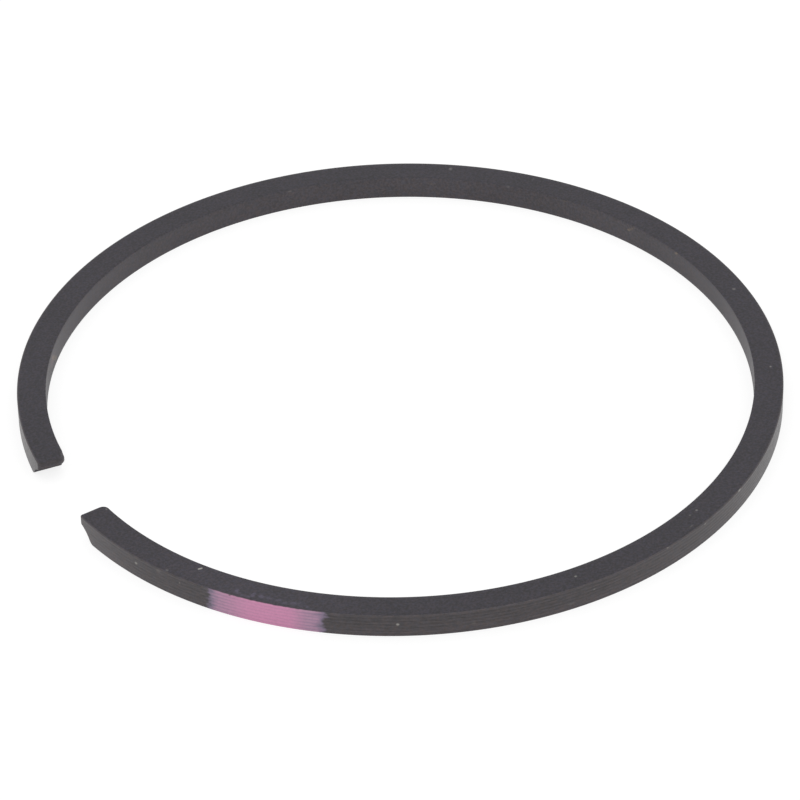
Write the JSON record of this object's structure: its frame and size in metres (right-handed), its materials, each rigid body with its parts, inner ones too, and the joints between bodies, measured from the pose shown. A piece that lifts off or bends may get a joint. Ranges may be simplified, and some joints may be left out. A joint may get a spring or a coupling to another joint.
{
  "type": "piston ring",
  "caption": "Split piston ring in its free shape, with a straight gap, a pin notch under each end and a finely turned running face.",
  "frame": {"origin": "on the ring's axis, at the height of the lower flank, which has the pin notches", "axes": "+Z along the ring's axis, from the notched lower flank to the plain upper flank; -X from the axis to the middle of the gap; +Y to one side of the gap"},
  "size_m": [0.0474, 0.0478, 0.0015],
  "materials": {
    "phosphated_iron": "dark phosphate, satin, fine turned lines on the running face, a pink and purple paint dab beside the gap"
  },
  "bodies": {
    "root": {"piston_ring": "phosphated_iron"}
  },
  "joints": []
}
